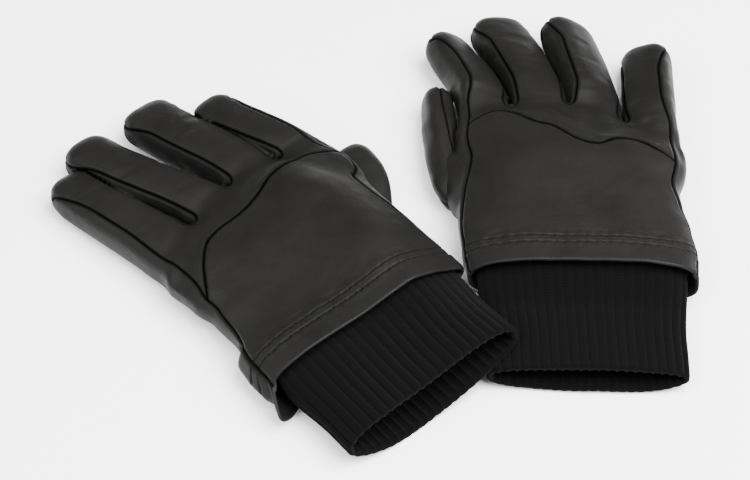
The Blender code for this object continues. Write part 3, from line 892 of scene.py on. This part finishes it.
def blend_line(glove, i):
    """Start and end, in metres, of a stretch along a finger that starts past its crotches.
    """
    (x0, y0), (x1, y1) = FINGER_LINE[i], FINGER_LINE[i + 1]
    start = np.array(((x0 + x1) / 2, (y0 + y1) / 2, 0.0))
    normal = np.array((y0 - y1, x1 - x0, 0.0))
    normal /= np.linalg.norm(normal)
    ends = to_world(glove, np.array([start + normal * BEND_START, start + normal * BEND_END]))
    return tuple(ends[0]), tuple(ends[1])


def build_thumb(side, glove, seed):
    tube = thumb_tube(glove)

    def field(points):
        found = tube.field(tube.place(points[:, :2]), points[:, 2], base_round=9.0)
        return np.maximum(found, 0.3 - points[:, 2])

    low = (*(tube.line.min(0) - 14), -1.5)
    high = (*(tube.line.max(0) + 14), 24)
    axes = [np.arange(a, b, THUMB_GRID) for a, b in zip(low, high)]
    grid = np.stack(np.meshgrid(*axes, indexing="ij"), -1)
    values = field(grid.reshape(-1, 3)).reshape(grid.shape[:3])
    points, quads = surface_nets(values, low, THUMB_GRID)
    skin = Skin(settle(field, points), triangles_of(quads))
    place = tube.place(skin.points[:, :2])
    up = tube.section(place, skin.points[:, 2])[1]
    skin.fields["back"] = up - 0.12 * tube.height(place[0])
    skin.cut("back", side="back")
    for offset in SEAM_CUTS:
        skin.cut("back", offset)
    near = nearness(skin.points, skin.line_points(skin.line("back")))
    height = -0.6 * bell(near, 0, 0.6) + 0.3 * bell(near, 1.8, 1.0)
    height += 0.6 * lumps(skin.points, 16, seed) + 0.2 * lumps(skin.points, 6, seed + 1)
    skin.points = skin.points + skin.normals() * height[:, None]
    skin.points[:, 2] = np.maximum(skin.points[:, 2], TABLE_GAP)
    normals = skin.normals()
    # Painted shade along the thumb's seam groove.
    painted_shade = bell(near, 0, 0.62)
    for half, chosen in (("back", skin.sides["back"]), ("front", ~skin.sides["back"])):
        node = f"{side}_thumb_{half}"
        obj = make_piece(glove, node, skin, normals, painted_shade, chosen, LEATHER_SKIN)
        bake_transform(obj)
        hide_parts(node)


# ---- hem, stitches and knit cuff ----


def ring_grid_faces(rows, columns):
    number = np.arange(rows * columns).reshape(rows, columns)
    after = np.roll(number, -1, axis=1)
    return np.stack([number[:-1], number[1:], after[1:], after[:-1]], -1).reshape(-1, 4)


def section(middle, wide, level, high, power, count, fine=1440):
    """Evenly spaced points and outward normals of a rounded rectangle, from +x over the top."""
    angle = np.linspace(0, 2 * math.pi, fine, endpoint=False)
    across, up = np.cos(angle), np.sin(angle)
    x = middle + wide * np.sign(across) * np.abs(across) ** (2 / power)
    z = level + high * np.sign(up) * np.abs(up) ** (2 / power)
    closed = np.stack([np.append(x, x[0]), np.append(z, z[0])], 1)
    arc = arc_lengths(closed)
    at = np.arange(count) / count * arc[-1]
    x, z = np.interp(at, arc, closed[:, 0]), np.interp(at, arc, closed[:, 1])
    dx = np.roll(x, -1) - np.roll(x, 1)
    dz = np.roll(z, -1) - np.roll(z, 1)
    length = np.hypot(dx, dz) + 1e-9
    return x, z, dz / length, -dx / length


def build_stitches(side, glove, skin, normals):
    """Short threads lying in the two stitched rows above the hem's edge."""
    ring = 6
    stations = np.array([-1, -0.6, 0, 0.6, 1.0])
    shape = np.array([0.15, 0.8, 1.0, 0.8, 0.15])
    angle = np.arange(ring) / ring * 2 * math.pi
    across = np.array([0.0, 1.0, 0.0])
    thread_faces = ring_grid_faces(len(stations), ring)[:, [0, 3, 2, 1]]
    points, faces = [], []
    for height in HEM_ROWS:
        chosen = loop_at(skin, height)
        line = skin.points[chosen]
        out_ways = normals[chosen]
        closed = np.vstack([line, line[:1]])
        arc = arc_lengths(closed)
        total = int(arc[-1] / STITCH_PITCH)
        for k in range(total):
            at = (k + 0.5) / total * arc[-1]
            spots = [[np.interp(d, arc, axis) for axis in closed.T] for d in (at, at + 0.9)]
            middle, ahead = np.array(spots)
            along = ahead - middle
            along /= np.linalg.norm(along) + 1e-9
            out = out_ways[min(np.searchsorted(arc, at), len(line) - 1)]
            faces.append(len(points) + thread_faces)
            for s, r in zip(stations, shape):
                for a in angle:
                    spot = middle + along * s * STITCH_HALF + out * 0.12
                    around = across * math.cos(a) + out * math.sin(a)
                    points.append(spot + around * THREAD_RADIUS * r)
    name = f"{side}_hem_stitches"
    obj = make_object(glove, name, np.array(points), np.vstack(faces), THREAD_SKIN)
    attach(obj, f"{side}_hand")


def cuff_form(glove, y):
    """Middle x, half width, middle height and half height of the knit cuff at y."""
    out = float(smooth(-y / 38))
    middle, wide, level, high = (float(v) for v in hand_form(glove, max(y, 0.0)))
    inset = LEATHER + 0.9 + 2.6 * float(smooth((9 - y) / 8))
    wide -= inset
    high -= inset
    thick = glove["cuff_half_thick"]
    mouth_middle, mouth_wide = glove["mouth"][:2]
    wide += (mouth_wide - wide) * out
    middle += (mouth_middle - middle) * out
    sunk = float(smooth((9 - y) / 30))
    high += (thick - high) * sunk
    level += (thick + 0.4 - level) * sunk
    return middle, wide, level, high


def build_cuff(side, glove, seed):
    """Ribbed storm cuff, folded double at its mouth."""
    per_rib = 12
    count = RIBS * per_rib
    turn = np.arange(count) / per_rib
    rib = np.abs(np.sin(math.pi * turn)) ** 0.6
    mouth = glove["cuff_out"]
    slant, cut_back = glove["mouth"][2:]
    fold = CUFF_WALL / 2
    stations = [(float(y), 0.0, 1.0) for y in np.arange(9.0, -mouth + fold, -1.5)]
    for angle in np.linspace(0, math.pi, 9):
        reach = -mouth + fold - fold * math.sin(angle)
        stations.append((reach, fold * (1 - math.cos(angle)), math.cos(angle)))
    stations += [(float(y), CUFF_WALL, -1.0) for y in np.arange(-mouth + fold, 9.0, 2.0)]
    rows, uv = [], []
    for i, (y, inset, outside) in enumerate(stations):
        middle, wide, level, high = cuff_form(glove, y)
        x, z, nx, nz = section(middle, wide - inset, level, high - inset, 2.4, count)
        place = np.stack([x, np.full(count, y), z], 1)
        swell = 0.5 + 0.5 * smooth((-6 - y) / 20)
        grow = RIB_DEPTH * swell * (rib - 1) * outside
        if outside < 0:
            grow = RIB_DEPTH * swell * (1 - rib) * outside
        sag = 1.3 * lumps(place * (1, 0.7, 1), 26, seed) * smooth((4 - y) / 20)
        grow = grow + np.minimum(sag, 0.5)
        x = x + nx * grow
        z = z + nz * grow
        z = np.maximum(z, (1.75 if y > -3 else 0.1) + inset - 0.5 * (inset > 0))
        out = smooth(-y / mouth)
        wander = 1.3 * lumps(place * (1, 0, 1), 30, seed + 1)
        shift = slant * (z - level) / high + cut_back * smooth((-20 - x) / 28) + wander
        lift = tuck_height(glove, x, 0 * x + y)
        z = z * thinning(glove, x) ** (1 - out) + lift
        rows.append(np.stack([x, y + shift * out, z], 1))
        uv.append(np.stack([turn, np.full(count, i * 1.5)], 1))
    points = np.vstack(rows)
    faces = ring_grid_faces(len(stations), count)[:, ::-1]
    name = f"skin_{side}_knit_cuff"
    obj = make_object(glove, name, points, faces, KNIT_SKIN, uv=np.vstack(uv) / 10)
    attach(obj, f"{side}_hand")
    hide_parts(f"{side}_knit_cuff")


# ---- materials ----


class Nodes:
    """Short way to add and link shader nodes."""

    def __init__(self, name):
        self.material = bpy.data.materials.new(name)
        self.material.use_nodes = True
        self.tree = self.material.node_tree
        self.shader = self.tree.nodes["Principled BSDF"]
        self.place = self.add("ShaderNodeTexCoord").outputs["Object"]

    def put(self, socket, value):
        if isinstance(value, bpy.types.NodeSocket):
            self.tree.links.new(value, socket)
        else:
            socket.default_value = value

    def add(self, kind, inputs=None, **settings):
        node = self.tree.nodes.new(kind)
        for key, value in settings.items():
            setattr(node, key, value)
        for key, value in (inputs or {}).items():
            self.put(node.inputs[key], value)
        return node

    def noise(self, scale, detail=2.0, roughness=0.5):
        inputs = {"Vector": self.place, "Scale": scale, "Detail": detail, "Roughness": roughness}
        return self.add("ShaderNodeTexNoise", inputs).outputs["Fac"]

    def ramp(self, value, low, high, start, end):
        inputs = {0: value, 1: low, 2: high, 3: start, 4: end}
        return self.add("ShaderNodeMapRange", inputs).outputs[0]

    def math(self, operation, a, b=0.0):
        return self.add("ShaderNodeMath", {0: a, 1: b}, operation=operation).outputs[0]

    def colour(self, factor, a, b):
        node = self.add("ShaderNodeMix", {0: factor, 6: a, 7: b}, data_type="RGBA")
        return node.outputs[2]

    def bump(self, height, strength, distance, before=None):
        inputs = {"Height": height, "Strength": strength, "Distance": distance}
        if before is not None:
            inputs["Normal"] = before
        return self.add("ShaderNodeBump", inputs).outputs["Normal"]

    def set(self, name, value):
        self.put(self.shader.inputs[name], value)

    def finish(self, colour, roughness, specular, normal):
        self.set("Base Color", colour)
        self.set("Roughness", roughness)
        self.set("Specular IOR Level", specular)
        self.set("Normal", normal)
        return self.material


def leather_material(name, base, lighter, rough):
    """Smooth finished leather: fine grain, stretch lines, slight wear and mottling, and painted
    shade in its seams.
    """
    n = Nodes(name)
    spot = {"Vector": n.place, "Scale": 950.0}
    cells = n.add("ShaderNodeTexVoronoi", spot, feature="DISTANCE_TO_EDGE")
    grain = n.ramp(cells.outputs["Distance"], 0.0, 0.28, 0.0, 1.0)
    fine = n.noise(1600.0, 3.0, 0.6)
    folds = n.noise(90.0, 4.0, 0.55)
    broad = n.noise(22.0, 3.0, 0.5)
    mottle = n.ramp(broad, 0.35, 0.7, 0.0, 1.0)
    speck = n.ramp(fine, 0.3, 0.75, 0.0, 0.35)
    # The seam shade attribute is painted shade: in the seam grooves it darkens the colour, raises
    # the roughness and blackens the specular tint.
    seam_shade = n.add("ShaderNodeAttribute", attribute_name="seam_shade").outputs["Fac"]
    tone = n.colour(n.math("ADD", mottle, speck), base, lighter)
    colour = n.colour(seam_shade, tone, (0.0003, 0.0003, 0.0003, 1))
    rough_spot = n.ramp(n.noise(60.0, 3.0), 0.3, 0.75, rough - 0.05, rough + 0.09)
    roughness = n.math("ADD", rough_spot, n.math("MULTIPLY", seam_shade, 0.42))
    n.set("Specular Tint", n.colour(seam_shade, (1, 1, 1, 1), (0.02, 0.02, 0.02, 1)))
    first = n.bump(grain, 0.28, 0.00022)
    second = n.bump(fine, 0.22, 0.00012, first)
    return n.finish(colour, roughness, 0.08, n.bump(folds, 0.30, 0.0010, second))


def knit_material():
    """Rib knit yarn: columns of small stitches with soft fuzz."""
    n = Nodes("knit_yarn")
    uv = n.add("ShaderNodeUVMap").outputs["UV"]
    parts = n.add("ShaderNodeSeparateXYZ", {0: uv})
    column = n.math("MULTIPLY", parts.outputs[0], 10.0 * 2 * math.pi * 2)
    row = n.math("MULTIPLY", parts.outputs[1], 10.0 * 2 * math.pi / 1.5)
    half = n.math("SINE", n.math("MULTIPLY", column, 0.5))
    lean = n.math("MULTIPLY", n.math("ABSOLUTE", half), 2.2)
    stitch = n.math("SINE", n.math("ADD", row, lean))
    fuzz = n.noise(1500.0, 4.0, 0.7)
    yarn = n.noise(420.0, 2.0, 0.5)
    weave = n.math("MULTIPLY", stitch, 0.3)
    tint = n.ramp(n.math("ADD", weave, n.math("MULTIPLY", fuzz, 1.5)), 0.0, 1.6, 0.0, 1.0)
    colour = n.colour(tint, (0.0004, 0.0004, 0.0004, 1), (0.0013, 0.0013, 0.0012, 1))
    n.set("Sheen Weight", 0.01)
    n.set("Sheen Roughness", 0.6)
    first = n.bump(stitch, 0.20, 0.0004)
    second = n.bump(yarn, 0.35, 0.0006, first)
    return n.finish(colour, 0.95, 0.033, n.bump(fuzz, 0.5, 0.0003, second))


def thread_material():
    n = Nodes("black_thread")
    twist = n.noise(2500.0, 2.0)
    colour = n.colour(twist, (0.0017, 0.0017, 0.0015, 1), (0.0050, 0.0048, 0.0043, 1))
    return n.finish(colour, n.ramp(twist, 0.3, 0.7, 0.6, 0.8), 0.10, n.bump(twist, 0.4, 0.0002))


def lining_material():
    n = Nodes("brushed_lining")
    nap = n.noise(900.0, 5.0, 0.7)
    n.set("Sheen Weight", 0.01)
    colour = n.colour(nap, (0.0016, 0.0016, 0.0015, 1), (0.0050, 0.0048, 0.0045, 1))
    return n.finish(colour, 0.95, 0.05, n.bump(nap, 0.6, 0.0006))


def floor_material():
    n = Nodes("studio_floor")
    tone = n.noise(3.0, 2.0)
    n.set("Base Color", n.colour(tone, (0.93, 0.93, 0.93, 1), (0.95, 0.95, 0.95, 1)))
    n.set("Roughness", 0.9)
    n.set("Specular IOR Level", 0.1)
    return n.material


# ---- stage ----


def build_stage():
    bpy.ops.mesh.primitive_plane_add(size=12, location=(0, 2, 0))
    floor = bpy.context.object
    floor.name = "studio_floor"
    floor.data.materials.append(floor_material())
    world = bpy.data.worlds.new("studio")
    bpy.context.scene.world = world
    world.use_nodes = True
    background = world.node_tree.nodes["Background"].inputs
    background["Color"].default_value = (1, 1, 1, 1)
    background["Strength"].default_value = 0.42


def area_light(name, place, aim, size, power):
    lamp = bpy.data.lights.new(name, "AREA")
    lamp.shape = "RECTANGLE"
    lamp.size, lamp.size_y = size
    lamp.energy = power
    obj = new_object(name, lamp)
    obj.location = place
    obj.rotation_euler = (Vector(aim) - Vector(place)).to_track_quat("-Z", "Y").to_euler()


def build_camera():
    """Looks along +y and down at the pair."""
    elevation = math.radians(CAMERA_RISE)
    aim = Vector((0.0 - PAIR_CENTRE[0] / 1000, 0.0 - PAIR_CENTRE[1] / 1000, 0.015))
    camera = bpy.data.cameras.new("camera")
    camera.lens = 105.6
    camera.sensor_width = 36
    obj = new_object("camera", camera)
    out = Vector((0, -math.cos(elevation), math.sin(elevation)))
    obj.location = aim + out * CAMERA_AWAY
    obj.rotation_euler = (math.radians(90) - elevation, 0, 0)
    bpy.context.scene.camera = obj


LEATHER_SKIN = leather_material(
    "glove_leather", (0.0032, 0.0031, 0.0028, 1), (0.0052, 0.0050, 0.0046, 1), 0.47
)
# A darker copy of the leather for the gussets: painted shade between the fingers.
SHADED_GUSSET_SKIN = leather_material(
    "gusset_leather", (0.0022, 0.0021, 0.0019, 1), (0.0038, 0.0037, 0.0034, 1), 0.52
)
KNIT_SKIN = knit_material()
THREAD_SKIN = thread_material()
LINING_SKIN = lining_material()

for number, (glove_side, glove_facts) in enumerate(GLOVES.items()):
    build_leather(glove_side, glove_facts, 11 + 40 * number)
    build_thumb(glove_side, glove_facts, 23 + 40 * number)
    build_cuff(glove_side, glove_facts, 37 + 40 * number)
    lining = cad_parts[f"{glove_side}_hand_lining"]
    lining.data.materials.clear()
    lining.data.materials.append(LINING_SKIN)

build_stage()
area_light("key", (0.8, -0.35, 1.45), (0, 0, 0), (1.6, 1.6), 192)
area_light("fill", (-0.9, -0.6, 1.3), (0, 0, 0), (1.4, 1.4), 54)
build_camera()
